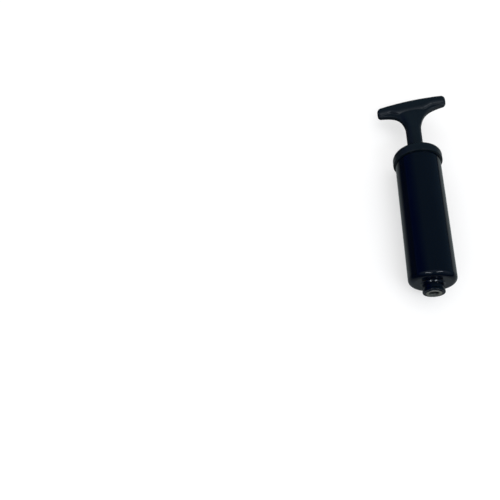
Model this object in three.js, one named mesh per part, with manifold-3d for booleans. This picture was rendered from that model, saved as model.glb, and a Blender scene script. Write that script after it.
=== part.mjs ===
// Hand pump for sports balls: a slim barrel with a screw-on end cap, a T-handle on a steel rod,
// a piston with a floating seal ring, and a nozzle with a threaded socket and a check valve.
// Millimetres, +Z up. The pump lies on its side: its axis runs along Y, the nozzle points to -Y
// and the handle to +Y. The origin is the middle of the pump's footprint, on the surface below it.
import * as THREE from 'three';
import { mergeVertices } from 'three/addons/utils/BufferGeometryUtils.js';
import Module from 'manifold-3d';

const wasm = await Module();
wasm.setup();

// ---------------------------------------------------------------- driving dimensions
// A "station" is a distance along the pump's axis from the barrel's nozzle-end face, towards
// the handle. Radii are measured from the axis.
const BARREL_LENGTH = 105.9;        // visible barrel, from its end face to the cap's lower edge
const BARREL_RADIUS_NOZZLE = 17.0;  // outside, at the nozzle end
const BARREL_RADIUS_CAP = 17.5;     // outside, at the cap end
const BORE_RADIUS = 15.0;
const END_WALL = 3.0;
const END_ROUNDING = 4.0;
const LIP_HEIGHT = 1.3;             // moulded lip round the nozzle's hole
const LIP_LAND = 0.15;
const LIP_WIDTH = 1.3;
const THREAD_RADIUS = 16.3;         // the barrel's stepped-down end inside the cap
const THREAD_LENGTH = 5.6;

const CAP_RADIUS = 19.2;
const CAP_LENGTH = 9.6;
const CAP_ROUNDING = 4.6;
const CAP_GAP = 0.3;                // shadow gap between the barrel's shoulder and the cap

const NOZZLE_RADIUS = 7.35;
const COLLAR_RADIUS = 7.8;
const COLLAR_LENGTH = 1.7;
const NOZZLE_LENGTH = 7.2;
const SOCKET_PROUD = 0.5;           // the metal socket stands this far out of the nozzle
const SOCKET_OUTER_RADIUS = 5.5;
const SOCKET_BORE_RADIUS = 3.6;

const ROD_RADIUS = 3.0;
const ROD_HEAD_RADIUS = 4.2;
const PISTON_RADIUS = 14.6;
const PISTON_FRONT = 6.6;           // station of the piston's front face, handle pushed home
const SEAL_SECTION_RADIUS = 1.8;
const SEAL_FLOAT = 1.2;             // how far the seal ring moves along its groove

const BALL_RADIUS = 2.5;

const GRIP_HALF_WIDTH = 28.1;       // T-bar, from the axis to its end
const GRIP_TOP = 172.5;             // station of the T-bar's crown
const GRIP_ARCH = 2.0;              // the crown stands this much above the bar's ends
const GRIP_HEIGHT = 9.4;            // T-bar, along the axis, in the middle
const GRIP_END_HEIGHT = 8.8;        // and at its ends
const GRIP_BELLY = 3.5;             // the bar's lower edge bulges this much towards the neck
const GRIP_BELLY_FLAT = 9.5;        // half the width over which the bulge is full
const GRIP_BELLY_REACH = 19.0;      // from the axis to where the bulge ends
const GRIP_DEPTH = 11.0;            // T-bar, front to back, in the middle
const GRIP_END_DEPTH = 9.8;         // and at its ends
const BAR_ROUNDING = 4.0;
const WEB_HALF_WIDTH = 6.0;
const WEB_DEPTH = 5.2;
const NECK_RADIUS = 6.2;
const FLARE_HALF_WIDTH = 13.4;      // of the neck where it runs into the bar
const FLARE_HALF_DEPTH = 3.3;
const NECK_BASE_GAP = 0.4;          // neck to cap, handle pushed home
const GRIP_TURN = 20.8;             // degrees about the pump's axis, +X end up

// ---------------------------------------------------------------- derived places
const CAP_TOP = BARREL_LENGTH + CAP_LENGTH;
const NECK_BASE = CAP_TOP + NECK_BASE_GAP;
const NOZZLE_TIP = -NOZZLE_LENGTH;
const MIDDLE = (GRIP_TOP + NOZZLE_TIP - SOCKET_PROUD) / 2;
const ROUND = 48;                   // facets round the large pieces
const FINE = 24;                    // facets round the small pieces
const AXIS_HEIGHT = CAP_RADIUS * Math.cos(Math.PI / ROUND);
const CLEAR = 0.1;                  // play between pieces that fit in one another
const CHAMFER = 0.3;                // on edges that a hand or a needle meets

// ---------------------------------------------------------------- materials
const material = (color, roughness, metalness = 0) =>
  new THREE.MeshStandardMaterial({ color, roughness, metalness });
const glossBlack = () => material(0x0a1019, 0.2);
const satinBlack = () => material(0x111a22, 0.45);
const blackRubber = () => material(0x141414, 0.85);
const whiteNylon = () => material(0xe4e2da, 0.5);
const steel = () => material(0xc4c6c8, 0.25, 1);
const nickel = () => material(0xb9b3a6, 0.3, 1);

// ---------------------------------------------------------------- shape helpers
// A round piece from its [radius, station] outline, listed anticlockwise with the radius to the
// right. A facet, not an edge, faces straight down.
function turned(outline, facets = ROUND) {
  const points = outline.map(([radius, station]) => new THREE.Vector2(radius, station));
  return new THREE.LatheGeometry(points, facets, Math.PI / facets);
}

// Outline points of a quarter-round edge, from one angle to another in degrees.
function arc(centreRadius, centreStation, radius, fromDeg, toDeg, steps = 4) {
  return Array.from({ length: steps + 1 }, (_, i) => {
    const angle = THREE.MathUtils.degToRad(fromDeg + ((toDeg - fromDeg) * i) / steps);
    return [centreRadius + radius * Math.cos(angle), centreStation + radius * Math.sin(angle)];
  });
}

// A plain ring with a rectangular section.
function ring(inner, outer, from, to, facets = ROUND) {
  return turned([[inner, from], [outer, from], [outer, to], [inner, to], [inner, from]], facets);
}

// A plain disc or shaft on the axis.
function shaft(radius, from, to, facets = FINE) {
  return turned([[0, from], [radius, from], [radius, to], [0, to]], facets);
}

function toSolid(geometry) {
  const bare = geometry.clone();
  bare.deleteAttribute('normal');
  bare.deleteAttribute('uv');
  const merged = mergeVertices(bare, 1e-4);
  const index = Array.from(merged.index.array);
  const faces = [];
  for (let i = 0; i < index.length; i += 3) {
    const [a, b, c] = index.slice(i, i + 3);
    if (a !== b && b !== c && c !== a) faces.push(a, b, c);
  }
  return new wasm.Manifold(new wasm.Mesh({
    numProp: 3,
    vertProperties: new Float32Array(merged.attributes.position.array),
    triVerts: new Uint32Array(faces),
  }));
}

function toGeometry(solid) {
  const mesh = solid.getMesh();
  const geometry = new THREE.BufferGeometry();
  geometry.setAttribute('position', new THREE.BufferAttribute(mesh.vertProperties, 3));
  geometry.setIndex(new THREE.BufferAttribute(mesh.triVerts, 1));
  geometry.computeVertexNormals();
  return geometry;
}

const cut = (body, ...tools) =>
  toGeometry(tools.reduce((solid, tool) => solid.subtract(toSolid(tool)), toSolid(body)));

function piece(name, geometry, finish) {
  const mesh = new THREE.Mesh(geometry, finish);
  mesh.name = name;
  return mesh;
}

// ---------------------------------------------------------------- barrel and end cap
function barrel() {
  const shoulder = BARREL_LENGTH;
  const hole = NOZZLE_RADIUS + CLEAR;
  return turned([
    [hole, -LIP_HEIGHT],
    [hole + LIP_LAND, -LIP_HEIGHT],
    [hole + LIP_WIDTH / 2, -LIP_HEIGHT / 4],
    [hole + LIP_WIDTH, 0],
    ...arc(BARREL_RADIUS_NOZZLE - END_ROUNDING, END_ROUNDING, END_ROUNDING, -90, 0, 6),
    [BARREL_RADIUS_CAP, shoulder],
    [THREAD_RADIUS, shoulder],
    [THREAD_RADIUS, shoulder + THREAD_LENGTH],
    [BORE_RADIUS, shoulder + THREAD_LENGTH],
    [BORE_RADIUS, END_WALL],
    [hole, END_WALL],
    [hole, -LIP_HEIGHT],
  ]);
}

const CAP_SKIRT_BORE = THREAD_RADIUS + 0.3;
const CAP_CEILING = BARREL_LENGTH + 6.5;
const BOSS_RADIUS = 8.5;            // inside the cap, round the rod's bush
const BOSS_END = BARREL_LENGTH - 1.4;
const BUSH_RADIUS = 4.5;

function endCap() {
  const lip = BARREL_LENGTH + CAP_GAP;
  return turned([
    [CAP_SKIRT_BORE, lip],
    [CAP_RADIUS - CHAMFER, lip],
    [CAP_RADIUS, lip + CHAMFER],
    ...arc(CAP_RADIUS - CAP_ROUNDING, CAP_TOP - CAP_ROUNDING, CAP_ROUNDING, 0, 90, 6),
    [BUSH_RADIUS + CLEAR, CAP_TOP],
    [BUSH_RADIUS + CLEAR, BOSS_END],
    [BOSS_RADIUS, BOSS_END],
    [BOSS_RADIUS, CAP_CEILING],
    [CAP_SKIRT_BORE, CAP_CEILING],
    [CAP_SKIRT_BORE, lip],
  ]);
}

function capGasket() {
  return ring(BORE_RADIUS + CLEAR, THREAD_RADIUS, BARREL_LENGTH + THREAD_LENGTH + CLEAR,
    CAP_CEILING - CLEAR);
}

const BUSH_FLANGE = 0.8;
const BUSH_FLANGE_RADIUS = BUSH_RADIUS + 2;
const BUSH_BORE = ROD_RADIUS + 0.15;

function rodBush() {
  const flangeTop = BOSS_END - CLEAR;
  return turned([
    [BUSH_BORE, flangeTop - BUSH_FLANGE],
    [BUSH_FLANGE_RADIUS, flangeTop - BUSH_FLANGE],
    [BUSH_FLANGE_RADIUS, flangeTop],
    [BUSH_RADIUS, flangeTop],
    [BUSH_RADIUS, CAP_TOP - CLEAR],
    [BUSH_BORE, CAP_TOP - CLEAR],
    [BUSH_BORE, flangeTop - BUSH_FLANGE],
  ], FINE);
}

const BUMPER_TOP = BOSS_END - 2 * CLEAR - BUSH_FLANGE;
const BUMPER_THICKNESS = 2.6;

function stopBumper() {
  return ring(ROD_RADIUS + 0.4, BOSS_RADIUS, BUMPER_TOP - BUMPER_THICKNESS, BUMPER_TOP, FINE);
}

// ---------------------------------------------------------------- nozzle and check valve
const GASKET_THICKNESS = 0.6;
const FLANGE_RADIUS = 11.0;
const FLANGE_THICKNESS = 1.8;
const FLANGE_BOTTOM = END_WALL + GASKET_THICKNESS + 2 * CLEAR;
const HUB_RADIUS = 6.0;
const HUB_HEIGHT = 3.0;
const HUB_TOP = FLANGE_BOTTOM + FLANGE_THICKNESS + HUB_HEIGHT;
const CHAMBER_RADIUS = 3.3;
const CHAMBER_FLOOR = -0.8;
const CHAMBER_CEILING = HUB_TOP - 1.3;
const OUTLET_RADIUS = 1.1;
const NEEDLE_SEAL_BORE = 2.2;
const INLET_RADIUS = 1.6;

function nozzleBody() {
  const outletBore = SOCKET_OUTER_RADIUS + CLEAR;
  return turned([
    [outletBore, NOZZLE_TIP],
    [COLLAR_RADIUS - CHAMFER, NOZZLE_TIP],
    [COLLAR_RADIUS, NOZZLE_TIP + CHAMFER],
    [COLLAR_RADIUS, NOZZLE_TIP + COLLAR_LENGTH],
    [NOZZLE_RADIUS, NOZZLE_TIP + COLLAR_LENGTH + CHAMFER],
    [NOZZLE_RADIUS, FLANGE_BOTTOM],
    [FLANGE_RADIUS, FLANGE_BOTTOM],
    [FLANGE_RADIUS, FLANGE_BOTTOM + FLANGE_THICKNESS],
    [HUB_RADIUS, FLANGE_BOTTOM + FLANGE_THICKNESS],
    [HUB_RADIUS, HUB_TOP],
    [INLET_RADIUS, HUB_TOP],
    [INLET_RADIUS, CHAMBER_CEILING],
    [CHAMBER_RADIUS, CHAMBER_CEILING],
    [CHAMBER_RADIUS, CHAMBER_FLOOR],
    [outletBore, CHAMBER_FLOOR],
    [outletBore, NOZZLE_TIP],
  ], FINE);
}

function nozzleGasket() {
  return ring(NOZZLE_RADIUS + 2 * CLEAR, FLANGE_RADIUS - 0.2, END_WALL + CLEAR,
    END_WALL + CLEAR + GASKET_THICKNESS, FINE);
}

const RETAINER_THICKNESS = 0.8;
const RETAINER_TOP = CHAMBER_FLOOR - CLEAR;
const NEEDLE_SEAL_THICKNESS = 0.8;
const NEEDLE_SEAL_TOP = RETAINER_TOP - RETAINER_THICKNESS - CLEAR;
const SOCKET_TOP = NEEDLE_SEAL_TOP - NEEDLE_SEAL_THICKNESS - CLEAR;
const INSIDE_NOZZLE = SOCKET_OUTER_RADIUS - 0.1;

function needleSocket() {
  const mouth = NOZZLE_TIP - SOCKET_PROUD;
  return turned([
    [SOCKET_BORE_RADIUS + CHAMFER, mouth],
    [SOCKET_OUTER_RADIUS - CHAMFER, mouth],
    [SOCKET_OUTER_RADIUS, mouth + CHAMFER],
    [SOCKET_OUTER_RADIUS, SOCKET_TOP],
    [SOCKET_BORE_RADIUS, SOCKET_TOP],
    [SOCKET_BORE_RADIUS, mouth + CHAMFER],
    [SOCKET_BORE_RADIUS + CHAMFER, mouth],
  ], FINE);
}

const needleSeal = () =>
  ring(NEEDLE_SEAL_BORE, INSIDE_NOZZLE, NEEDLE_SEAL_TOP - NEEDLE_SEAL_THICKNESS, NEEDLE_SEAL_TOP, FINE);
const valveRetainer = () =>
  ring(OUTLET_RADIUS, INSIDE_NOZZLE, RETAINER_TOP - RETAINER_THICKNESS, RETAINER_TOP, FINE);

const SEAT_THICKNESS = 0.9;
const SEAT_BOTTOM = CHAMBER_CEILING - CLEAR - SEAT_THICKNESS;
const valveSeat = () =>
  ring(INLET_RADIUS, CHAMBER_RADIUS - CLEAR, SEAT_BOTTOM, SEAT_BOTTOM + SEAT_THICKNESS, FINE);

// The ball's centre when its surface meets the seat's inner edge.
const BALL_CENTRE = SEAT_BOTTOM - Math.sqrt(BALL_RADIUS ** 2 - INLET_RADIUS ** 2) - CLEAR;

function valveBall() {
  const outline = arc(0, BALL_CENTRE, BALL_RADIUS, -90, 90, 10);
  outline[0][0] = 0;
  outline[outline.length - 1][0] = 0;
  return turned(outline, 20);
}

const SPRING_RADIUS = 1.7;
const WIRE_RADIUS = 0.22;
const SPRING_TURNS = 3;

class Helix extends THREE.Curve {
  constructor(radius, from, to, turns) {
    super();
    Object.assign(this, { radius, from, to, turns });
  }

  getPoint(t, target = new THREE.Vector3()) {
    const angle = 2 * Math.PI * this.turns * t;
    const station = this.from + (this.to - this.from) * t;
    return target.set(this.radius * Math.sin(angle), station, this.radius * Math.cos(angle));
  }
}

function valveSpring() {
  const contact = BALL_CENTRE - Math.sqrt(BALL_RADIUS ** 2 - SPRING_RADIUS ** 2);
  const play = 0.15;
  const path = new Helix(SPRING_RADIUS, RETAINER_TOP + WIRE_RADIUS + CLEAR,
    contact - WIRE_RADIUS - play, SPRING_TURNS);
  const section = new THREE.Shape();
  section.absarc(0, 0, WIRE_RADIUS, 0, 2 * Math.PI);
  return new THREE.ExtrudeGeometry(section, {
    curveSegments: 6, steps: SPRING_TURNS * 12, extrudePath: path,
  });
}

// ---------------------------------------------------------------- plunger
const RECESS_RADIUS = 8.0;
const RECESS_FLOOR = PISTON_FRONT + 6.0;
const FRONT_LAND_END = PISTON_FRONT + 3.6;
const GROOVE_WIDTH = 2 * SEAL_SECTION_RADIUS + SEAL_FLOAT + 2 * CLEAR;
const REAR_LAND = FRONT_LAND_END + GROOVE_WIDTH;
const REAR_LAND_END = REAR_LAND + 2.4;
const PISTON_CORE_RADIUS = 11.2;
const PISTON_CORE_END = REAR_LAND_END - 0.4;
const SLEEVE_RADIUS = 6.0;
const SLEEVE_END = REAR_LAND_END + 1.6;
const ROD_START = RECESS_FLOOR + 0.7;
const SCREW_HOLE_RADIUS = 1.6;
const SCREW_LENGTH = 10;
const AIR_SLOT_WIDTH = 3;
const AIR_SLOT_DEPTH = 2.2;

function pistonFront() {
  const rodSocket = ROD_RADIUS + CLEAR;
  const body = turned([
    [RECESS_RADIUS, PISTON_FRONT],
    [PISTON_RADIUS, PISTON_FRONT],
    [PISTON_RADIUS, FRONT_LAND_END],
    [PISTON_CORE_RADIUS, FRONT_LAND_END],
    [PISTON_CORE_RADIUS, PISTON_CORE_END],
    [SLEEVE_RADIUS, PISTON_CORE_END],
    [SLEEVE_RADIUS, SLEEVE_END],
    [rodSocket, SLEEVE_END],
    [rodSocket, ROD_START - CLEAR],
    [SCREW_HOLE_RADIUS, ROD_START - CLEAR],
    [SCREW_HOLE_RADIUS, RECESS_FLOOR],
    [RECESS_RADIUS, RECESS_FLOOR],
    [RECESS_RADIUS, PISTON_FRONT],
  ]);
  const slots = airSlots(PISTON_FRONT - 1, FRONT_LAND_END + 1);
  return cut(body, ...slots);
}

// Four notches across the front land, which let air past when the seal ring floats forward.
function airSlots(from, to) {
  return [45, 135, 225, 315].map((degrees) => {
    const slot = new THREE.BoxGeometry(AIR_SLOT_WIDTH, to - from, 2 * AIR_SLOT_DEPTH);
    slot.translate(0, (from + to) / 2, PISTON_RADIUS);
    return slot.rotateY(THREE.MathUtils.degToRad(degrees));
  });
}

function pistonRear() {
  return ring(PISTON_CORE_RADIUS + CLEAR, PISTON_RADIUS, REAR_LAND, REAR_LAND_END);
}

// The ring rests against the rear land, where the push stroke leaves it.
function pistonRing() {
  const centre = REAR_LAND - CLEAR - SEAL_SECTION_RADIUS;
  const outer = BORE_RADIUS - 0.05;
  const outline = arc(outer - SEAL_SECTION_RADIUS, centre, SEAL_SECTION_RADIUS, -180, 180, 8);
  outline[outline.length - 1] = outline[0];
  return turned(outline);
}

const WASHER_THICKNESS = 0.7;
const WASHER_RADIUS = 5.0;
const WASHER_FRONT = RECESS_FLOOR - CLEAR - WASHER_THICKNESS;
const SCREW_HEAD_RADIUS = 3.4;
const SCREW_HEAD = 2.0;
const SCREW_HEAD_BACK = WASHER_FRONT - CLEAR;
const RECESS_DEPTH = 1.2;           // the screw's crossed recess
const RECESS_WIDTH = 0.8;

const pistonWasher = () =>
  ring(SCREW_HOLE_RADIUS, WASHER_RADIUS, WASHER_FRONT, WASHER_FRONT + WASHER_THICKNESS, FINE);

function pistonScrew() {
  const shank = SCREW_HOLE_RADIUS - CLEAR;
  const front = SCREW_HEAD_BACK - SCREW_HEAD;
  const end = SCREW_HEAD_BACK + SCREW_LENGTH;
  const body = turned([
    [0, front],
    [SCREW_HEAD_RADIUS - 0.6, front],
    [SCREW_HEAD_RADIUS, front + 0.7],
    [SCREW_HEAD_RADIUS, SCREW_HEAD_BACK],
    [shank, SCREW_HEAD_BACK],
    [shank, end - 0.5],
    [shank - 0.5, end],
    [0, end],
  ], FINE);
  const recess = [0, 90].map((degrees) => {
    const blade = new THREE.BoxGeometry(SCREW_HEAD_RADIUS, 2 * RECESS_DEPTH, RECESS_WIDTH);
    return blade.translate(0, front, 0).rotateY(THREE.MathUtils.degToRad(degrees));
  });
  return cut(body, ...recess);
}

const HANDLE_BUSH_RADIUS = 4.4;
const HANDLE_BUSH_INSET = 0.3;      // inside the neck's mouth
const HANDLE_BUSH_LENGTH = 7.4;
const HANDLE_BUSH_PLAY = 0.2;       // round the rod, and along it to the rod's head
const ROD_HEAD_LENGTH = 2.8;
const HANDLE_BUSH_START = NECK_BASE + HANDLE_BUSH_INSET;
const HANDLE_BUSH_END = HANDLE_BUSH_START + HANDLE_BUSH_LENGTH;
const ROD_HEAD_START = HANDLE_BUSH_END + HANDLE_BUSH_PLAY;
const ROD_HEAD_END = ROD_HEAD_START + ROD_HEAD_LENGTH;

function pistonRod() {
  const tapped = SCREW_LENGTH + 1;
  return turned([
    [SCREW_HOLE_RADIUS, ROD_START],
    [ROD_RADIUS, ROD_START],
    [ROD_RADIUS, ROD_HEAD_START],
    [ROD_HEAD_RADIUS, ROD_HEAD_START],
    [ROD_HEAD_RADIUS, ROD_HEAD_END - CHAMFER],
    [ROD_HEAD_RADIUS - CHAMFER, ROD_HEAD_END],
    [0, ROD_HEAD_END],
    [0, ROD_START + tapped],
    [SCREW_HOLE_RADIUS, ROD_START + tapped - 1],
    [SCREW_HOLE_RADIUS, ROD_START],
  ], FINE);
}

// ---------------------------------------------------------------- handle
const BAR_CENTRE = GRIP_TOP - GRIP_HEIGHT / 2;
const UNDER_BAR = GRIP_TOP - GRIP_HEIGHT;
const BAR_END_BEVEL = 2.2;
const WEB_BEVEL = 1.2;
const WEB_START = NECK_BASE + 24;
const WEB_REACH = 27;               // half the web's width where its fillets meet the bar
const FILLET_LENGTH = 21;           // along the axis, up to the bar
const FILLET_SPREAD = 2.2;          // first control point of a fillet's curve, outside the web
const FILLET_SPREAD_DROP = 8.3;     // and below the bar
const FILLET_SHOULDER = 11.4;       // second control point, from the axis
const FILLET_SHOULDER_DROP = 3.5;   // and below the bar
const FILLET_END_DROP = 1.6;        // where the curve ends, below the bar
const FILLET_START = UNDER_BAR - FILLET_LENGTH;
const NECK_EDGE = 0.4;              // chamfer at the neck's mouth
const NECK_END = BAR_CENTRE - 3;    // the neck stops inside the bar
const FLARE_STEPS = 10;
const FLARE_OVALNESS = 1;           // added to the section's power of 2 along the flare
const HEAD_ROOM = 0.5;              // between the rod's head and the bottom of the neck's bore

// The T-bar: a rounded section swept across the pump, shallower and lower towards its ends.
function gripBar() {
  const halfHeight = GRIP_HEIGHT / 2;
  const halfDepth = GRIP_DEPTH / 2;
  const round = BAR_ROUNDING;
  const section = new THREE.Shape();
  section.moveTo(halfHeight, round - halfDepth);
  section.absarc(halfHeight - round, halfDepth - round, round, 0, Math.PI / 2);
  section.absarc(round - halfHeight, halfDepth - round, round, Math.PI / 2, Math.PI);
  section.absarc(round - halfHeight, round - halfDepth, round, Math.PI, 1.5 * Math.PI);
  section.absarc(halfHeight - round, round - halfDepth, round, 1.5 * Math.PI, 2 * Math.PI);
  const bar = new THREE.ExtrudeGeometry(section, {
    depth: 2 * (GRIP_HALF_WIDTH - BAR_END_BEVEL), steps: 18, curveSegments: 3,
    bevelEnabled: true, bevelSegments: 3,
    bevelSize: BAR_END_BEVEL, bevelOffset: -BAR_END_BEVEL, bevelThickness: BAR_END_BEVEL,
  });
  bar.translate(0, 0, BAR_END_BEVEL - GRIP_HALF_WIDTH);
  const place = bar.attributes.position;
  for (let i = 0; i < place.count; i += 1) {
    const across = place.getZ(i);
    const outward = (across / GRIP_HALF_WIDTH) ** 2;
    const drop = (GRIP_ARCH - (GRIP_HEIGHT - GRIP_END_HEIGHT) / 2) * outward;
    const fullness = 1 - THREE.MathUtils.smoothstep(Math.abs(across), GRIP_BELLY_FLAT, GRIP_BELLY_REACH);
    const belly = GRIP_BELLY * fullness;
    const tall = THREE.MathUtils.lerp(GRIP_HEIGHT, GRIP_END_HEIGHT, outward) + belly;
    const height = (place.getX(i) * tall) / GRIP_HEIGHT;
    const depth = place.getY(i) * THREE.MathUtils.lerp(1, GRIP_END_DEPTH / GRIP_DEPTH, outward);
    place.setXYZ(i, across, BAR_CENTRE - drop - belly / 2 + height, depth);
  }
  return bar;
}

// The web between neck and bar, in the T's own plane, with a long fillet on each side.
function gripWeb() {
  const bevel = WEB_BEVEL;
  const flank = new THREE.Vector2(WEB_HALF_WIDTH + FILLET_SPREAD, UNDER_BAR - FILLET_SPREAD_DROP);
  const shoulder = new THREE.Vector2(FILLET_SHOULDER, UNDER_BAR - FILLET_SHOULDER_DROP);
  const corner = new THREE.Vector2(WEB_REACH, UNDER_BAR - FILLET_END_DROP);
  const shape = new THREE.Shape();
  shape.moveTo(-WEB_HALF_WIDTH, WEB_START);
  shape.lineTo(WEB_HALF_WIDTH, WEB_START);
  shape.lineTo(WEB_HALF_WIDTH, FILLET_START);
  shape.bezierCurveTo(flank.x, flank.y, shoulder.x, shoulder.y, corner.x, corner.y);
  shape.lineTo(WEB_REACH - bevel, BAR_CENTRE);
  shape.lineTo(bevel - WEB_REACH, BAR_CENTRE);
  shape.lineTo(-corner.x, corner.y);
  shape.bezierCurveTo(-shoulder.x, shoulder.y, -flank.x, flank.y, -WEB_HALF_WIDTH, FILLET_START);
  const web = new THREE.ExtrudeGeometry(shape, {
    depth: WEB_DEPTH - 2 * bevel, curveSegments: 10, steps: 1, bevelEnabled: true,
    bevelSize: bevel, bevelOffset: -bevel, bevelThickness: bevel, bevelSegments: 2,
  });
  return web.translate(0, 0, bevel - WEB_DEPTH / 2);
}

// The neck, round at the cap and flaring into a flattened oval where it runs into the bar.
function gripNeck() {
  const flare = Array.from({ length: FLARE_STEPS + 1 }, (_, i) => (
    [NECK_RADIUS, THREE.MathUtils.lerp(FILLET_START, NECK_END, i / FLARE_STEPS)]));
  const neck = turned([
    [0, NECK_BASE],
    [NECK_RADIUS - NECK_EDGE, NECK_BASE],
    [NECK_RADIUS, NECK_BASE + NECK_EDGE],
    ...flare,
    [0, NECK_END],
  ], FINE);
  const place = neck.attributes.position;
  for (let i = 0; i < place.count; i += 1) {
    const along = THREE.MathUtils.clamp((place.getY(i) - FILLET_START) / (UNDER_BAR - FILLET_START), 0, 1);
    const power = 2 / (2 + FLARE_OVALNESS * along);
    const wide = THREE.MathUtils.lerp(NECK_RADIUS, FLARE_HALF_WIDTH, along ** 2);
    const deep = THREE.MathUtils.lerp(NECK_RADIUS, FLARE_HALF_DEPTH, along);
    const across = place.getX(i) / NECK_RADIUS;
    const depth = place.getZ(i) / NECK_RADIUS;
    place.setX(i, along > 0 ? wide * Math.sign(across) * Math.abs(across) ** power : place.getX(i));
    place.setZ(i, along > 0 ? deep * Math.sign(depth) * Math.abs(depth) ** power : place.getZ(i));
  }
  return neck;
}

function handleGrip() {
  const bore = shaft(HANDLE_BUSH_RADIUS + CLEAR, NECK_BASE - 1, ROD_HEAD_END + HEAD_ROOM);
  const outside = toSolid(gripBar()).add(toSolid(gripWeb())).add(toSolid(gripNeck()));
  return toGeometry(outside.subtract(toSolid(bore)));
}

function handleBush() {
  return ring(ROD_RADIUS + HANDLE_BUSH_PLAY, HANDLE_BUSH_RADIUS, HANDLE_BUSH_START, HANDLE_BUSH_END, FINE);
}

// ---------------------------------------------------------------- assembly
const pump = new THREE.Group();
pump.position.set(0, -MIDDLE, AXIS_HEIGHT);
pump.add(
  piece('barrel', barrel(), glossBlack()),
  piece('end_cap', endCap(), satinBlack()),
  piece('cap_gasket', capGasket(), blackRubber()),
  piece('rod_bush', rodBush(), whiteNylon()),
  piece('stop_bumper', stopBumper(), blackRubber()),
  piece('nozzle_body', nozzleBody(), glossBlack()),
  piece('nozzle_gasket', nozzleGasket(), blackRubber()),
  piece('needle_socket', needleSocket(), nickel()),
  piece('needle_seal', needleSeal(), blackRubber()),
  piece('valve_retainer', valveRetainer(), whiteNylon()),
  piece('valve_seat', valveSeat(), blackRubber()),
  piece('valve_spring', valveSpring(), steel()),
  piece('valve_ball', valveBall(), steel()),
  piece('piston_front', pistonFront(), whiteNylon()),
  piece('piston_rear', pistonRear(), whiteNylon()),
  piece('piston_ring', pistonRing(), blackRubber()),
  piece('piston_washer', pistonWasher(), steel()),
  piece('piston_screw', pistonScrew(), steel()),
  piece('piston_rod', pistonRod(), steel()),
);

const handle = new THREE.Group();
handle.rotation.y = -THREE.MathUtils.degToRad(GRIP_TURN);
handle.add(
  piece('handle_grip', handleGrip(), satinBlack()),
  piece('handle_bush', handleBush(), whiteNylon()),
);
pump.add(handle);

export default pump;
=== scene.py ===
"""Looks of a small hand pump for sports balls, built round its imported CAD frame.

The pump lies on its side along +Y, with the nozzle at -Y and the T-handle at +Y. A "station" is a
distance in millimetres along the pump's axis from the barrel's nozzle-end face towards the handle,
and radii are in millimetres from that axis. place() turns them into metres in the frame.
"""

import math

import bmesh
import bpy
import numpy as np
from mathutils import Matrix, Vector


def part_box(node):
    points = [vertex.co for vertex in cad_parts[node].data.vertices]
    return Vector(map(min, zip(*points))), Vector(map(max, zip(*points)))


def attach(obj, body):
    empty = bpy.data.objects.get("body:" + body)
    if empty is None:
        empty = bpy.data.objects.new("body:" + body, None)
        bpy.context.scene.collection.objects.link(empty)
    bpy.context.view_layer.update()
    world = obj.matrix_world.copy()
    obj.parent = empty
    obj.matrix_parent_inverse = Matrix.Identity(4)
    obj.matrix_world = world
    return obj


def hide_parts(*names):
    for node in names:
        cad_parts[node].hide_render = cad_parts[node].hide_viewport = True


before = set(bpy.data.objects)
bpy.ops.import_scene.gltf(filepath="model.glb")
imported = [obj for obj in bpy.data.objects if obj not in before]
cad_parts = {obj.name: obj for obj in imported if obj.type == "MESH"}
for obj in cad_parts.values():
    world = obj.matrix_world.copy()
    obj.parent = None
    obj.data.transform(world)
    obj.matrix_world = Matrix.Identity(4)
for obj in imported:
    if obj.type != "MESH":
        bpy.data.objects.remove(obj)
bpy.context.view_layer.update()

MM = 0.001

# ---------------------------------------------------------------- dimensions, in millimetres
LIP_HEIGHT = 1.3                  # moulded lip round the nozzle's hole
LIP_LAND = 0.15
LIP_WIDTH = 1.3
BARREL_LENGTH = 105.9
BARREL_RADIUS_NOZZLE = 17.0
BARREL_RADIUS_CAP = 17.5
BORE_RADIUS = 15.0
END_WALL = 3.0
END_ROUNDING = 4.0
THREAD_RADIUS = 16.3
THREAD_LENGTH = 5.6
CAP_LENGTH = 9.6
CAP_ROUNDING = 4.6
CAP_GAP = 0.3
CAP_SKIRT_BORE = 16.6
CAP_CEILING = BARREL_LENGTH + 6.5
BOSS_RADIUS = 8.5
BOSS_END = BARREL_LENGTH - 1.4
BUSH_RADIUS = 4.5
BUSH_PLAY = 0.15                  # round the rod
BUSH_FLANGE = 0.8
BUSH_FLANGE_RADIUS = 6.5
CLEAR = 0.1
NOZZLE_RADIUS = 7.35
COLLAR_RADIUS = 7.8
COLLAR_LENGTH = 1.7
NOZZLE_TIP = -7.2
SOCKET_PROUD = 0.5
SOCKET_RADIUS = 5.5
SOCKET_BORE = 3.6
SOCKET_TOP = -2.7
NEEDLE_SEAL_BORE = 2.2
NEEDLE_SEAL_TOP = -1.8
NEEDLE_SEAL_THICKNESS = 0.8
FLANGE_RADIUS = 11.0              # of the nozzle, inside the barrel's end wall
FLANGE_START = 3.8
FLANGE_END = 5.6
HUB_RADIUS = 6.0
HUB_END = 8.6
CHAMBER_RADIUS = 3.3              # the check valve's room inside the hub
CHAMBER_START = -0.8
CHAMBER_END = 7.3
INLET_RADIUS = 1.6
BALL_RADIUS = 2.5
SEAT_START = 6.3
ROD_RADIUS = 3.0
ROD_HEAD_RADIUS = 4.2
CAP_TOP = BARREL_LENGTH + CAP_LENGTH
NECK_BASE = CAP_TOP + 0.4
HANDLE_BUSH_RADIUS = 4.4
HANDLE_BUSH_START = NECK_BASE + 0.3
HANDLE_BUSH_END = HANDLE_BUSH_START + 7.4
HANDLE_BUSH_PLAY = 0.2            # round the rod, and along it to the rod's head
ROD_HEAD_END = HANDLE_BUSH_END + 3.0
ROD_START = 13.3
SCREW_HOLE_RADIUS = 1.6
SCREW_HOLE_DEPTH = 10.0
GRIP_TURN = math.radians(20.8)    # of the T-handle about the axis, +X end up
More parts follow.
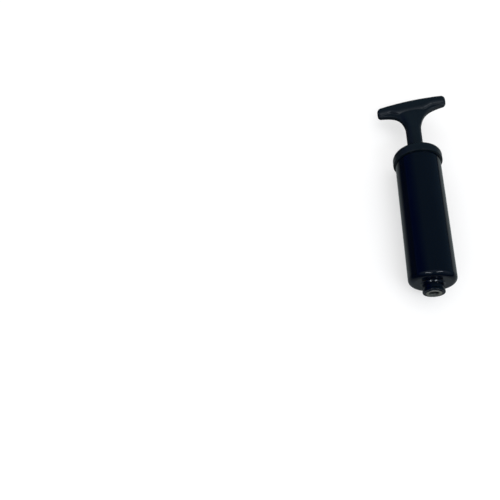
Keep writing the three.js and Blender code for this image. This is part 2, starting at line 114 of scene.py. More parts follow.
GRIP_HALF_WIDTH = 28.1
GRIP_TOP = 172.5

# ---------------------------------------------------------------- places in the frame
AXIS_HEIGHT = (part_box("end_cap")[0].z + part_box("end_cap")[1].z) / 2 / MM
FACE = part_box("barrel")[0].y / MM + LIP_HEIGHT
CAP_RADIUS = AXIS_HEIGHT          # the pump lies on its cap


def place(radius, angle, station):
    """A point of the frame, in metres. The angle runs from straight up towards +X."""
    return Vector((radius * math.sin(angle), FACE + station, AXIS_HEIGHT + radius * math.cos(angle))) * MM


def linked(name, data):
    """A new object of the scene that shows that data."""
    made = bpy.data.objects.new(name, data)
    bpy.context.scene.collection.objects.link(made)
    return made


# ---------------------------------------------------------------- camera
CAMERA_OFFSET = (-123.8, -202.7, 329.6)    # from the barrel's middle, in millimetres
CAMERA_DOWN = math.radians(62.64)
CAMERA_TURN = math.radians(2.91)


def camera():
    """At the photograph's viewing angle: above the nozzle end, to the pump's left."""
    data = bpy.data.cameras.new("camera")
    data.sensor_width = 36.0
    data.lens = 36.0
    data.clip_start = 0.01
    made = linked("camera", data)
    barrel_middle = Vector((0, FACE + BARREL_LENGTH / 2, AXIS_HEIGHT))
    made.location = (barrel_middle + Vector(CAMERA_OFFSET)) * MM
    made.rotation_euler = (math.pi / 2 - CAMERA_DOWN, 0, CAMERA_TURN)
    bpy.context.scene.camera = made


camera()


# ---------------------------------------------------------------- mesh helpers
def arc(centre_radius, centre_station, radius, start, end, steps=10):
    """(radius, station) points of a round edge, between two angles in degrees."""
    angles = [math.radians(start + (end - start) * i / steps) for i in range(steps + 1)]
    return [(centre_radius + radius * math.cos(a), centre_station + radius * math.sin(a)) for a in angles]


def softened(outline, radius=0.15, steps=3):
    """The same closed outline with its marked corners rounded. A corner is (radius, station, True)."""
    made = []
    count = len(outline)
    for i, point in enumerate(outline):
        here = np.array(point[:2], float)
        if len(point) < 3:
            made.append(tuple(here))
            continue
        before = np.array(outline[i - 1][:2], float)
        after = np.array(outline[(i + 1) % count][:2], float)
        back = (before - here) / np.linalg.norm(before - here)
        ahead = (after - here) / np.linalg.norm(after - here)
        reach = min(radius, np.linalg.norm(before - here) / 2, np.linalg.norm(after - here) / 2)
        for k in range(steps + 1):
            t = k / steps
            made.append(tuple(here + back * reach * (1 - t) ** 2 + ahead * reach * t ** 2))
    return made


def add_piece(name, bm, crease=30):
    """A shown mesh object from a bmesh, smooth except along edges sharper than crease degrees."""
    bmesh.ops.recalc_face_normals(bm, faces=bm.faces)
    mesh = bpy.data.meshes.new(name)
    bm.to_mesh(mesh)
    bm.free()
    made = linked(name, mesh)
    mesh.shade_smooth()
    mesh.set_sharp_from_angle(angle=math.radians(crease))
    weighted = made.modifiers.new("even_shading", "WEIGHTED_NORMAL")
    weighted.keep_sharp = True
    return made


def turned(name, outline, facets=128, crease=30):
    """A closed round piece from its closed outline of (radius, station) points.
    A radius may also be a function of the angle round the axis."""
    bm = bmesh.new()
    rings = []
    for radius, station in outline:
        if not callable(radius) and radius < 1e-6:
            rings.append([bm.verts.new(place(0, 0, station))])
            continue
        angles = [2 * math.pi * (i + 0.5) / facets for i in range(facets)]
        radii = [radius(a) if callable(radius) else radius for a in angles]
        rings.append([bm.verts.new(place(r, a, station)) for r, a in zip(radii, angles)])
    for near, far in zip(rings, rings[1:] + rings[:1]):
        for i in range(facets):
            k = (i + 1) % facets
            corners = [near[0]] if len(near) == 1 else [near[i], near[k]]
            corners += [far[0]] if len(far) == 1 else [far[k], far[i]]
            if len(corners) > 2:
                bm.faces.new(corners)
    return add_piece(name, bm, crease)


# ---------------------------------------------------------------- materials
def new_material(name):
    """A new material, its node tree and its shader node."""
    made = bpy.data.materials.new(name)
    made.use_nodes = True
    tree = made.node_tree
    return made, tree, tree.nodes["Principled BSDF"]


def coordinates(tree, scale=(1, 1, 1)):
    """Object coordinates in millimetres, times scale along each axis."""
    source = tree.nodes.new("ShaderNodeTexCoord")
    mapping = tree.nodes.new("ShaderNodeMapping")
    mapping.inputs["Scale"].default_value = [s / MM for s in scale]
    tree.links.new(source.outputs["Object"], mapping.inputs["Vector"])
    return mapping.outputs["Vector"]


def noise(tree, vector, scale, detail=3.0, roughness=0.5):
    """Noise from 0 to 1, mostly between 0.3 and 0.7. The scale is in waves per unit of the vector."""
    made = tree.nodes.new("ShaderNodeTexNoise")
    made.inputs["Scale"].default_value = scale
    made.inputs["Detail"].default_value = detail
    made.inputs["Roughness"].default_value = roughness
    tree.links.new(vector, made.inputs["Vector"])
    return made.outputs["Fac"]


def remap(tree, value, low, high, to_low, to_high):
    """The value carried from one range to another, and held at that range's ends."""
    made = tree.nodes.new("ShaderNodeMapRange")
    for socket, number in zip(("From Min", "From Max", "To Min", "To Max"), (low, high, to_low, to_high)):
        made.inputs[socket].default_value = number
    tree.links.new(value, made.inputs["Value"])
    return made.outputs["Result"]


def spread(tree, value, low, high):
    """A noise's usual range carried to low and high."""
    return remap(tree, value, 0.3, 0.7, low, high)


def combine(tree, operation, a, b):
    """One arithmetic step between two nodes' outputs."""
    made = tree.nodes.new("ShaderNodeMath")
    made.operation = operation
    tree.links.new(a, made.inputs[0])
    tree.links.new(b, made.inputs[1])
    return made.outputs[0]


def add(tree, a, b):
    return combine(tree, "ADD", a, b)


def times(tree, a, b):
    return combine(tree, "MULTIPLY", a, b)


def mixed(tree, factor, first, second):
    """The first colour where the factor is 0, and the second where it is 1. Each is a colour or a
    node's output."""
    made = tree.nodes.new("ShaderNodeMix")
    made.data_type = "RGBA"
    for socket, colour in (("A", first), ("B", second)):
        if isinstance(colour, tuple):
            made.inputs[socket].default_value = (*colour, 1)
        else:
            tree.links.new(colour, made.inputs[socket])
    tree.links.new(factor, made.inputs["Factor"])
    return made.outputs["Result"]


def axis_of(tree, vector, axis):
    """One of a vector's three parts: "X", "Y" or "Z"."""
    made = tree.nodes.new("ShaderNodeSeparateXYZ")
    tree.links.new(vector, made.inputs["Vector"])
    return made.outputs[axis]


def bump(tree, height, distance, strength=1.0):
    """A bump of that depth in millimetres."""
    made = tree.nodes.new("ShaderNodeBump")
    made.inputs["Distance"].default_value = distance * MM
    made.inputs["Strength"].default_value = strength
    tree.links.new(height, made.inputs["Height"])
    return made.outputs["Normal"]


def gloss_black():
    """Polished moulded plastic: faint flow marks, hairlines along the pump, a little dust haze."""
    made, tree, shader = new_material("gloss_black")
    flow = noise(tree, coordinates(tree, (1, 0.25, 1)), 0.16, 2.0)
    haze = noise(tree, coordinates(tree), 0.9, 4.0)
    hairlines = noise(tree, coordinates(tree, (1, 0.02, 1)), 5.0, 2.0)
    tree.links.new(mixed(tree, flow, (0.0001, 0.0007, 0.0032), (0.0005, 0.0015, 0.0048)),
                   shader.inputs["Base Color"])
    rough = add(tree, spread(tree, haze, 0.09, 0.15), remap(tree, hairlines, 0.6, 0.75, 0.0, 0.05))
    tree.links.new(rough, shader.inputs["Roughness"])
    tree.links.new(bump(tree, haze, 0.004), shader.inputs["Normal"])
    shader.inputs["IOR"].default_value = 1.45
    return made


def satin_black():
    """Moulded plastic with a fine spark-eroded grain."""
    made, tree, shader = new_material("satin_black")
    grain = noise(tree, coordinates(tree), 4.5, 3.0, 0.6)
    patches = noise(tree, coordinates(tree), 0.12, 3.0)
    tree.links.new(mixed(tree, patches, (0.0012, 0.0040, 0.0074), (0.0026, 0.0063, 0.0106)),
                   shader.inputs["Base Color"])
    rough = add(tree, spread(tree, patches, 0.27, 0.34), spread(tree, grain, 0.0, 0.06))
    tree.links.new(rough, shader.inputs["Roughness"])
    tree.links.new(bump(tree, grain, 0.012, 0.7), shader.inputs["Normal"])
    shader.inputs["IOR"].default_value = 1.46
    return made


def rubber():
    """Dull black rubber with a fine grain."""
    made, tree, shader = new_material("rubber")
    grain = noise(tree, coordinates(tree), 3.0, 4.0, 0.6)
    tree.links.new(mixed(tree, grain, (0.012, 0.012, 0.013), (0.022, 0.022, 0.022)),
                   shader.inputs["Base Color"])
    tree.links.new(spread(tree, grain, 0.62, 0.8), shader.inputs["Roughness"])
    tree.links.new(bump(tree, grain, 0.02), shader.inputs["Normal"])
    shader.inputs["Specular IOR Level"].default_value = 0.35
    return made


def white_nylon():
    """Slightly yellowed nylon that light sinks into a little."""
    made, tree, shader = new_material("white_nylon")
    clouds = noise(tree, coordinates(tree), 0.5, 3.0)
    grain = noise(tree, coordinates(tree), 6.0, 2.0)
    tree.links.new(mixed(tree, clouds, (0.68, 0.66, 0.58), (0.78, 0.77, 0.71)),
                   shader.inputs["Base Color"])
    tree.links.new(spread(tree, grain, 0.42, 0.52), shader.inputs["Roughness"])
    tree.links.new(bump(tree, grain, 0.008), shader.inputs["Normal"])
    shader.inputs["Subsurface Weight"].default_value = 0.12
    shader.inputs["Subsurface Scale"].default_value = 1.5 * MM
    return made


# Painted shade: the socket's metal turns this dark deeper in its bore, where shade falls.
PAINTED_BORE_SHADE = (0.035, 0.032, 0.026)
BORE_SHADE_START = NOZZLE_TIP + 0.5   # station where the painted shade in the bore begins
BORE_SHADE_FADE = 0.7


def turned_metal(name, dark, light, rough_low, rough_high, bore_shaded=False):
    """Metal with fine tool rings round the axis, and cloudy tarnish. It can have painted shade: a dark
    colour deeper inside the nozzle's mouth."""
    made, tree, shader = new_material(name)
    rings = noise(tree, coordinates(tree, (0.03, 1, 0.03)), 9.0, 2.0)
    clouds = noise(tree, coordinates(tree), 0.12, 2.0)
    colour = mixed(tree, clouds, dark, light)
    # painted shade: darker deeper in the socket's bore
    if bore_shaded:
        start = FACE + BORE_SHADE_START
        depth = axis_of(tree, coordinates(tree), "Y")
        colour = mixed(tree, remap(tree, depth, start, start + BORE_SHADE_FADE, 0, 1), colour, PAINTED_BORE_SHADE)
    tree.links.new(colour, shader.inputs["Base Color"])
    shader.inputs["Metallic"].default_value = 1.0
    tarnish = spread(tree, clouds, rough_low, rough_high)
    rough = add(tree, tarnish, spread(tree, rings, -0.01, 0.02))
    tree.links.new(rough, shader.inputs["Roughness"])
    tree.links.new(bump(tree, rings, 0.0002), shader.inputs["Normal"])
    return made


MATERIALS = {
    "gloss_black": gloss_black(),
    "satin_black": satin_black(),
    "rubber": rubber(),
    "white_nylon": white_nylon(),
    "steel": turned_metal("steel", (0.47, 0.48, 0.5), (0.6, 0.61, 0.62), 0.38, 0.44),
    "nickel_plate": turned_metal("nickel_plate", (0.42, 0.39, 0.33), (0.56, 0.53, 0.46), 0.34, 0.46,
                                 bore_shaded=True),
}


def finish(piece, body, slot, *nodes):
    """Gives a piece the material named by slot and its body, and hides the CAD nodes that it stands for.
    """
    piece.data.materials.append(MATERIALS[slot])
    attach(piece, body)
    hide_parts(*nodes)


# ---------------------------------------------------------------- barrel and end cap
def barrel():
    """Closed end with a rounded edge, a slight draft, and a shoulder that the cap screws on behind."""
    hole = NOZZLE_RADIUS + CLEAR
    outline = [
        (hole, -LIP_HEIGHT),
        (hole + LIP_LAND, -LIP_HEIGHT, True),
        (hole + LIP_WIDTH / 2, -LIP_HEIGHT / 4, True),
        (hole + LIP_WIDTH, 0, True),
        *arc(BARREL_RADIUS_NOZZLE - END_ROUNDING, END_ROUNDING, END_ROUNDING, -90, 0, 20),
        (BARREL_RADIUS_CAP, BARREL_LENGTH, True),
        (THREAD_RADIUS, BARREL_LENGTH),
        (THREAD_RADIUS, BARREL_LENGTH + THREAD_LENGTH, True),
        (BORE_RADIUS, BARREL_LENGTH + THREAD_LENGTH, True),
        (BORE_RADIUS, END_WALL),
        (hole, END_WALL),
    ]
    return turned("barrel_shell", softened(outline, 0.2), 160)


def end_cap():
    """Screw cap with a well rounded top edge and a soft lower edge."""
    lip = BARREL_LENGTH + CAP_GAP
    outline = [
        (CAP_SKIRT_BORE, lip, True),
        (CAP_RADIUS, lip, True),
        *arc(CAP_RADIUS - CAP_ROUNDING, CAP_TOP - CAP_ROUNDING, CAP_ROUNDING, 0, 90, 20),
        (BUSH_RADIUS + CLEAR, CAP_TOP, True),
        (BUSH_RADIUS + CLEAR, BOSS_END, True),
        (BOSS_RADIUS, BOSS_END, True),
        (BOSS_RADIUS, CAP_CEILING),
        (CAP_SKIRT_BORE, CAP_CEILING),
    ]
    return turned("end_cap_shell", softened(outline, 0.4, 5), 160)


def rod_bush():
    """Bush that guides the rod through the cap, with a flange at its inner end."""
    bore = ROD_RADIUS + BUSH_PLAY
    top = BOSS_END - CLEAR
    outline = [
        (bore, top - BUSH_FLANGE, True),
        (BUSH_FLANGE_RADIUS, top - BUSH_FLANGE, True),
        (BUSH_FLANGE_RADIUS, top, True),
        (BUSH_RADIUS, top),
        (BUSH_RADIUS, CAP_TOP - CLEAR, True),
        (bore, CAP_TOP - CLEAR, True),
    ]
    return turned("rod_bush_sleeve", softened(outline, 0.25), 72)


# ---------------------------------------------------------------- nozzle
def nozzle():
    """Short nozzle with a slightly wider collar at its mouth, flange and hub inside the barrel.
    A low edge is moulded round the metal insert."""
    bore = SOCKET_RADIUS + CLEAR
    edge = 0.35
    edge_foot = 0.8
    rounding = 0.5
    step = 0.3
    outline = [
        (bore, NOZZLE_TIP - edge, True),
        (bore + edge, NOZZLE_TIP - edge, True),
        (bore + edge_foot, NOZZLE_TIP),
        *arc(COLLAR_RADIUS - rounding, NOZZLE_TIP + rounding, rounding, -90, 0, 6),
        (COLLAR_RADIUS, NOZZLE_TIP + COLLAR_LENGTH, True),
        (NOZZLE_RADIUS, NOZZLE_TIP + COLLAR_LENGTH + step, True),
        (NOZZLE_RADIUS, FLANGE_START),
        (FLANGE_RADIUS, FLANGE_START, True),
        (FLANGE_RADIUS, FLANGE_END, True),
        (HUB_RADIUS, FLANGE_END),
        (HUB_RADIUS, HUB_END, True),
        (INLET_RADIUS, HUB_END, True),
        (INLET_RADIUS, CHAMBER_END),
        (CHAMBER_RADIUS, CHAMBER_END),
        (CHAMBER_RADIUS, CHAMBER_START),
        (bore, CHAMBER_START),
    ]
    return turned("nozzle_shell", softened(outline, 0.2), 96)


def needle_socket():
    """Plated insert with the ball needle's own fine thread cut inside it."""
    within = 0.01                 # keeps the mouth inside the CAD's box
    mouth = NOZZLE_TIP - SOCKET_PROUD + within
    pitch = 0.794
    depth = 0.32
    lead_in = 0.45
    fade_steps = 6
    rim = 0.25
    start = mouth + lead_in
    steps = 64
    outline = [
        (SOCKET_BORE + lead_in, mouth),
        *arc(SOCKET_RADIUS - rim, mouth + rim, rim, -90, 0, 5),
        (SOCKET_RADIUS, SOCKET_TOP, True),
        (SOCKET_BORE, SOCKET_TOP),
    ]
    closed = softened(outline, 0.15)
    for i in range(steps + 1):
        station = SOCKET_TOP + (start - SOCKET_TOP) * i / steps
        fade = min(1.0, min(i, steps - i) / fade_steps)

        def radius(angle, station=station, fade=fade):
            turn = ((station - mouth) / pitch - angle / (2 * math.pi)) % 1.0
            return SOCKET_BORE + depth * fade * abs(2 * turn - 1)
        closed.append((radius, station))
    return turned("needle_socket_insert", closed, 96, 50)


def sleeve(name, inner, outer, start, end, rounding, facets):
    """A plain round sleeve or washer with soft edges."""
    outline = [(inner, start, True), (outer, start, True), (outer, end, True), (inner, end, True)]
    return turned(name, softened(outline, rounding), facets)


def needle_seal():
    """Washer that a ball needle's end presses on, just behind the socket."""
    start = NEEDLE_SEAL_TOP - NEEDLE_SEAL_THICKNESS
    outer = SOCKET_RADIUS - CLEAR
    return sleeve("needle_seal_washer", NEEDLE_SEAL_BORE, outer, start, NEEDLE_SEAL_TOP, 0.25, 64)


def valve_ball():
    """A precision ball: its outline is a half circle on the axis."""
    centre = SEAT_START - math.sqrt(BALL_RADIUS ** 2 - INLET_RADIUS ** 2) - CLEAR
    outline = arc(0, centre, BALL_RADIUS, -90, 90, 32)
    outline[0] = (0, centre - BALL_RADIUS)
    outline[-1] = (0, centre + BALL_RADIUS)
    return turned("valve_ball_sphere", outline, 64)


# ---------------------------------------------------------------- rod and handle
def piston_rod():
    """Steel rod with a drilled end for the piston's screw, and a head that the handle turns on."""
    head_start = HANDLE_BUSH_END + HANDLE_BUSH_PLAY
    hole_end = ROD_START + SCREW_HOLE_DEPTH
    outline = [
        (SCREW_HOLE_RADIUS, ROD_START, True),
        (ROD_RADIUS, ROD_START, True),
        (ROD_RADIUS, head_start),
        (ROD_HEAD_RADIUS, head_start, True),
        (ROD_HEAD_RADIUS, ROD_HEAD_END, True),
        (0, ROD_HEAD_END),
        (0, hole_end + 1),
        (SCREW_HOLE_RADIUS, hole_end),
    ]
    return turned("piston_rod_steel", softened(outline, 0.3), 72)


def handle_bush():
    """Bush in the handle's neck that keeps the rod's head in."""
    bore = ROD_RADIUS + HANDLE_BUSH_PLAY
    return sleeve("handle_bush_sleeve", bore, HANDLE_BUSH_RADIUS, HANDLE_BUSH_START, HANDLE_BUSH_END,
                  0.3, 72)


GRIP = {
    "height": 9.4, "end_height": 8.8, "depth": 11.0, "end_depth": 9.8, "arch": 2.0, "end_rounding": 3.0,
    "belly": 3.5, "belly_flat": 9.5, "belly_reach": 19.0,
    "web_half_width": 6.0, "web_depth": 5.2, "web_rounding": 1.3,
    "neck_radius": 6.2, "neck_edge": 0.4, "flare_half_width": 13.4, "flare_half_depth": 3.3,
    "blend": 0.6, "bore_edge": 0.15, "head_room": 0.5,
}
BAR_CENTRE = GRIP_TOP - GRIP["height"] / 2
UNDER_BAR = GRIP_TOP - GRIP["height"]
NECK_END = BAR_CENTRE - 3         # the neck stops inside the bar
WEB_START = NECK_BASE + 24
WEB_REACH = 27.0                  # half the web's width where its fillets meet the bar
FILLET_LENGTH = 21                # along the axis, up to the bar
FILLET_SPREAD = 2.2               # first control point of a fillet's curve, outside the web
FILLET_SPREAD_DROP = 8.3          # and below the bar
FILLET_SHOULDER = 11.4            # second control point, from the axis
FILLET_SHOULDER_DROP = 3.5        # and below the bar
FILLET_END_DROP = 1.6             # where the curve ends, below the bar
FILLET_START = UNDER_BAR - FILLET_LENGTH
HEIGHT_ROUNDING = 0.46            # the bar's edges are rounded by this part of its height
DEPTH_ROUNDING = 0.42             # or this part of its depth, whichever is less


def round_both(x, y, radius):
    """Signed distance to the inside of both surfaces, with a rounded edge where they meet."""
    outside = np.hypot(np.maximum(x + radius, 0), np.maximum(y + radius, 0))
    return np.minimum(np.maximum(x, y), -radius) + outside


def either(x, y, blend):
    """Signed distance to either body, with a fillet where they meet."""
    near = np.maximum(blend - np.abs(x - y), 0) / blend
    return np.minimum(x, y) - near ** 2 * blend / 4


def oval_distance(x, y, power, wide, deep):
    """Signed distance, near the edge, to an oval whose section is a power curve of that power."""
    x = np.maximum(np.abs(x), 1e-4)
    y = np.maximum(np.abs(y), 1e-4)
    level = (x ** power + y ** power) ** (1 / power)
    slope = np.hypot((x / level) ** (power - 1) / wide, (y / level) ** (power - 1) / deep)
    return (level - 1) / slope


def web_flank():
    """Stations and half widths along the web's fillet, from the neck up to the bar."""
    t = np.linspace(0, 1, 60)
    points = [
        (GRIP["web_half_width"], FILLET_START),
        (GRIP["web_half_width"] + FILLET_SPREAD, UNDER_BAR - FILLET_SPREAD_DROP),
        (FILLET_SHOULDER, UNDER_BAR - FILLET_SHOULDER_DROP),
        (WEB_REACH, UNDER_BAR - FILLET_END_DROP),
    ]
    weights = [(1 - t) ** 3, 3 * (1 - t) ** 2 * t, 3 * (1 - t) * t ** 2, t ** 3]
    half = sum(w * p[0] for w, p in zip(weights, points))
    station = sum(w * p[1] for w, p in zip(weights, points))
    return station, half


WEB_STATIONS, WEB_HALVES = web_flank()


def bar_distance(across, station, depth):
    """Signed distance to the T-bar, which bulges towards the neck in its middle."""
    outward = np.clip((across / GRIP_HALF_WIDTH) ** 2, 0, 1)
    fade_width = GRIP["belly_reach"] - GRIP["belly_flat"]
    fading = np.clip((np.abs(across) - GRIP["belly_flat"]) / fade_width, 0, 1)
    belly = GRIP["belly"] * (1 - fading ** 2 * (3 - 2 * fading))
    height = GRIP["height"] + (GRIP["end_height"] - GRIP["height"]) * outward + belly
    thick = GRIP["depth"] + (GRIP["end_depth"] - GRIP["depth"]) * outward
    drop = (GRIP["arch"] - (GRIP["height"] - GRIP["end_height"]) / 2) * outward
    up = station - (BAR_CENTRE - drop - belly / 2)
    rounding = np.minimum(HEIGHT_ROUNDING * height, DEPTH_ROUNDING * thick)
    section = round_both(np.abs(up) - height / 2, np.abs(depth) - thick / 2, rounding)
    return round_both(section, np.abs(across) - GRIP_HALF_WIDTH, GRIP["end_rounding"])


def web_distance(across, station, depth):
    """Signed distance to the web between neck and bar."""
    half = np.interp(station, WEB_STATIONS, WEB_HALVES)
    slope = np.gradient(WEB_HALVES, WEB_STATIONS)
    steep = np.interp(station, WEB_STATIONS, slope)
    flank = (np.abs(across) - half) / np.sqrt(1 + steep ** 2)
    web = round_both(flank, np.abs(depth) - GRIP["web_depth"] / 2, GRIP["web_rounding"])
    web = np.maximum(web, station - BAR_CENTRE)
    return np.maximum(web, WEB_START - station)


def neck_distance(across, station, depth):
    """Signed distance to the neck, round at the cap and a flattened oval where it meets the bar."""
    along = np.clip((station - FILLET_START) / (UNDER_BAR - FILLET_START), 0, 1)
    wide = GRIP["neck_radius"] + (GRIP["flare_half_width"] - GRIP["neck_radius"]) * along ** 2
    deep = GRIP["neck_radius"] + (GRIP["flare_half_depth"] - GRIP["neck_radius"]) * along
    oval = oval_distance(across / wide, depth / deep, 2 + along, wide, deep)
    neck = round_both(oval, NECK_BASE - station, GRIP["neck_edge"])
    return np.maximum(neck, station - NECK_END)


def grip_distance(across, station, depth):
    """Signed distance, in millimetres, from the handle's surface: less than 0 inside."""
    web = web_distance(across, station, depth)
    neck = neck_distance(across, station, depth)
    bar = bar_distance(across, station, depth)
    whole = either(either(web, neck, GRIP["blend"]), bar, GRIP["blend"])
    off_axis = np.hypot(across, depth)
    bore = np.maximum(off_axis - HANDLE_BUSH_RADIUS - CLEAR, station - ROD_HEAD_END - GRIP["head_room"])
    return round_both(whole, -bore, GRIP["bore_edge"])


def surface_quads(inside):
    """The grid's cells that the surface crosses, and the quads that join their middles. Inside says
    of each grid point whether it is within the solid."""
    counts = inside.shape
    corners = sum(inside[i:counts[0] - 1 + i, j:counts[1] - 1 + j, k:counts[2] - 1 + k].astype(int)
                  for i in (0, 1) for j in (0, 1) for k in (0, 1))
    crossed = (corners > 0) & (corners < 8)
    index = np.full(crossed.shape, -1)
    index[crossed] = np.arange(crossed.sum())

    faces = []
    for axis in range(3):
        near = [slice(None)] * 3
        far = [slice(None)] * 3
        near[axis] = slice(None, -1)
        far[axis] = slice(1, None)
        goes_out = inside[tuple(near)]
        flips = goes_out != inside[tuple(far)]
        u, v = [k for k in range(3) if k != axis]
        for cell in np.argwhere(flips):
            around = []
            for du, dv in ((-1, -1), (0, -1), (0, 0), (-1, 0)):
                corner = cell.copy()
                corner[u] += du
                corner[v] += dv
                around.append(int(index[tuple(corner)]))
            keep_order = bool(goes_out[tuple(cell)]) != (axis == 1)
            faces.append(around if keep_order else around[::-1])
    return np.argwhere(crossed), faces


def settle(points, faces, rounds=3, pull=0.6):
    """Evens out the points along the surface and draws them onto it."""
    pairs = np.array([(f[i], f[(i + 1) % 4]) for f in faces for i in range(4)])
    for _ in range(rounds):
        total = np.zeros_like(points)
        count = np.zeros(len(points))
        np.add.at(total, pairs[:, 0], points[pairs[:, 1]])
        np.add.at(count, pairs[:, 0], 1)
        points = (1 - pull) * points + pull * total / count[:, None]
        points = onto_surface(points)
    return points


def onto_surface(points, rounds=3):
    """Moves the points down the slope of grip_distance to where it is 0, in short steps."""
    small = 0.01
    flattest = 0.2
    longest = 0.4
    for _ in range(rounds):
        value = grip_distance(*points.T)
        rises = []
        for offset in small * np.eye(3):
            rises.append(grip_distance(*(points + offset).T) - grip_distance(*(points - offset).T))
        slope = np.stack(rises, -1) / (2 * small)
        length = np.maximum(np.sum(slope ** 2, -1), flattest)
        points = points - slope * np.clip(value / length, -longest, longest)[:, None]
    return points


def handle_grip():
    """The T-handle as one smooth moulded skin over grip_distance, meshed in even quads."""
    step = 0.45
    margin = 1.0
    low = np.array([-GRIP_HALF_WIDTH, NECK_BASE, -GRIP["depth"] / 2]) - margin
    high = np.array([GRIP_HALF_WIDTH, GRIP_TOP, GRIP["depth"] / 2]) + margin
    counts = np.ceil((high - low) / step).astype(int) + 1
    lines = [low[k] + step * np.arange(counts[k]) for k in range(3)]
    inside = grip_distance(*np.meshgrid(*lines, indexing="ij")) < 0
    cells, faces = surface_quads(inside)
    points = settle(low + step * (cells + 0.5), faces)
    cosine = math.cos(GRIP_TURN)
    sine = math.sin(GRIP_TURN)
    flat = points[:, [0, 2]] @ np.array([[cosine, sine], [-sine, cosine]])
    placed = np.stack([flat[:, 0], FACE + points[:, 1], AXIS_HEIGHT + flat[:, 1]], -1) * MM
    mesh = bpy.data.meshes.new("handle_grip_skin")
    mesh.from_pydata(placed.tolist(), [], faces)
    mesh.validate()
    mesh.shade_smooth()
    return linked("handle_grip_skin", mesh)


finish(barrel(), "pump_body", "gloss_black", "barrel")
finish(end_cap(), "pump_body", "satin_black", "end_cap")
finish(rod_bush(), "pump_body", "white_nylon", "rod_bush")
finish(nozzle(), "pump_body", "gloss_black", "nozzle_body")
finish(needle_socket(), "pump_body", "nickel_plate", "needle_socket")
finish(needle_seal(), "pump_body", "rubber", "needle_seal")
finish(valve_ball(), "valve", "steel", "valve_ball")
finish(piston_rod(), "plunger", "steel", "piston_rod")
finish(handle_bush(), "handle", "white_nylon", "handle_bush")
finish(handle_grip(), "handle", "satin_black", "handle_grip")


# ---------------------------------------------------------------- CAD nodes that stay
CARRIED_OVER = {
    "cap_gasket": "rubber", "stop_bumper": "rubber", "nozzle_gasket": "rubber",
    "valve_seat": "rubber", "piston_ring": "rubber", "valve_retainer": "white_nylon",
    "piston_front": "white_nylon", "piston_rear": "white_nylon", "valve_spring": "steel",
    "piston_washer": "steel", "piston_screw": "steel",
}
for node_name, slot_name in CARRIED_OVER.items():
    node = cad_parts[node_name]
    node.data.materials.clear()
    node.data.materials.append(MATERIALS[slot_name])
    node.data.shade_smooth()
    node.data.set_sharp_from_angle(angle=math.radians(35))


# ---------------------------------------------------------------- stage and light
FLOOR_REACH = 4.0                 # metres to each side
FLOOR_GAP = 0.02                  # millimetres below the cap's lowest line
FLOOR_GREY = (0.5, 0.5, 0.5)
FLOOR_GLOW = 0.45
# Glossy surfaces don't mirror the floor as it looks, but as a pale sheet in the dark. The sheet's
# place and brightness set the pale bands on the barrel, cap and handle, and are chosen.
SHEET_DARK = (0.004, 0.006, 0.012)
SHEET_LIGHT = (0.25, 0.285, 0.292)
# Each fade of the sheet: the axis it runs along, its two ends in millimetres, and how bright the
# sheet is at those ends. The last is a step in its brightness, and the others are its edges.
SHEET_FADES = [
    ("X", -50, -25, 0, 1),
    ("X", 150, 600, 1, 0),
    ("Y", -155, -115, 0, 1),
    ("Y", 120, 300, 1, 0),
    ("Y", -100, -75, 0.62, 1),
]
BESIDE_HANDLE = [("Y", 46, 62, 0, 1), ("X", -5, 20, 1, 0)]


def faded(tree, vector, fades):
    """The product of all the fades."""
    made = None
    for axis, *fade in fades:
        level = remap(tree, axis_of(tree, vector, axis), *fade)
        made = level if made is None else times(tree, made, level)
    return made


def floor():
    """Plain pale floor. In reflections it is the sheet, without the part to the handle's left."""
    bm = bmesh.new()
    bmesh.ops.create_grid(bm, x_segments=2, y_segments=2, size=FLOOR_REACH)
    mesh = bpy.data.meshes.new("floor")
    bm.to_mesh(mesh)
    bm.free()
    made = linked("floor", mesh)
    made.location.z = -FLOOR_GAP * MM
    material, tree, shader = new_material("floor")
    on_floor = coordinates(tree)
    beside_handle = faded(tree, on_floor, BESIDE_HANDLE)
    sheet = times(tree, faded(tree, on_floor, SHEET_FADES), remap(tree, beside_handle, 0, 1, 1, 0))
    mirrored = tree.nodes.new("ShaderNodeLightPath").outputs["Is Glossy Ray"]
    colour = mixed(tree, mirrored, FLOOR_GREY, mixed(tree, sheet, SHEET_DARK, SHEET_LIGHT))
    tree.links.new(colour, shader.inputs["Base Color"])
    tree.links.new(remap(tree, mirrored, 0, 1, FLOOR_GLOW, 0), shader.inputs["Emission Strength"])
    shader.inputs["Emission Color"].default_value = (1, 1, 1, 1)
    shader.inputs["Roughness"].default_value = 0.9
    shader.inputs["Specular IOR Level"].default_value = 0.0
    mesh.materials.append(material)


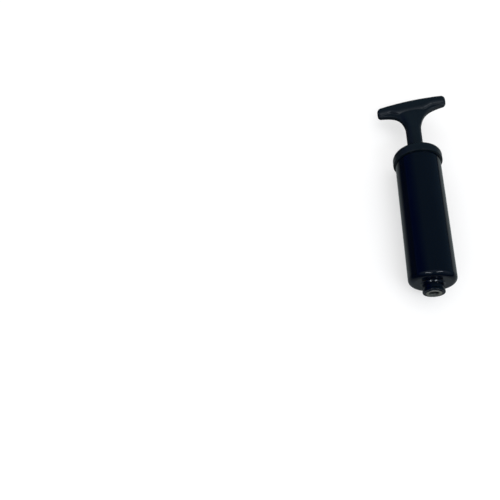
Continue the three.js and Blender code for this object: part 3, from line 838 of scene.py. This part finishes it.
LAMP_COLOUR = (0.86, 0.92, 1.0)
LAMP_POWER = 1.4                  # watts
LAMP_LENGTH = 0.50                # metres, like the two below
LAMP_WIDTH = 0.10
LAMP_DISTANCE = 1.0

# The white tent lights the scene, and the other three are what glossy surfaces mirror instead.
TENT = (1.12, 1.12, 1.12)
ROOM_LEFT = (0.0, 0.010, 0.135)
ROOM_RIGHT = (0.067, 0.12, 0.172)
WINDOW = (0.26, 0.34, 0.44)
# Fades over the parts of a direction, written like the sheet's.
ROOM_FADES = [("X", -0.82, -0.42, 0, 1)]
WINDOW_FADES = [("Y", 0.05, -0.2, 0, 1), ("Y", -0.75, -0.5, 0, 1), ("Z", 0.1, 0.5, 0, 1)]


def soft_box(name, direction):
    """A long soft light that looks at the pump's nozzle end from that direction."""
    data = bpy.data.lights.new(name, "AREA")
    data.shape = "RECTANGLE"
    data.size = LAMP_LENGTH
    data.size_y = LAMP_WIDTH
    data.energy = LAMP_POWER
    data.color = LAMP_COLOUR
    made = linked(name, data)
    way = Vector(direction).normalized()
    made.location = place(0, 0, 0) + way * LAMP_DISTANCE
    made.rotation_euler = way.to_track_quat("Z", "Y").to_euler()


def surroundings():
    """An even white tent, in place of which glossy surfaces mirror a dim bluish room with a window."""
    world = bpy.data.worlds.new("surroundings")
    bpy.context.scene.world = world
    world.use_nodes = True
    world.cycles.sampling_method = "NONE"
    tree = world.node_tree
    direction = tree.nodes.new("ShaderNodeTexCoord").outputs["Generated"]
    room = mixed(tree, faded(tree, direction, ROOM_FADES), ROOM_LEFT, ROOM_RIGHT)
    room = mixed(tree, faded(tree, direction, WINDOW_FADES), room, WINDOW)
    mirrored = tree.nodes.new("ShaderNodeLightPath").outputs["Is Glossy Ray"]
    tree.links.new(mixed(tree, mirrored, TENT, room), tree.nodes["Background"].inputs["Color"])


floor()
soft_box("left_box", (-0.456, -0.661, 0.595))
soft_box("right_box", (0.305, -0.527, 0.793))
surroundings()
bpy.context.scene.view_settings.view_transform = "Standard"
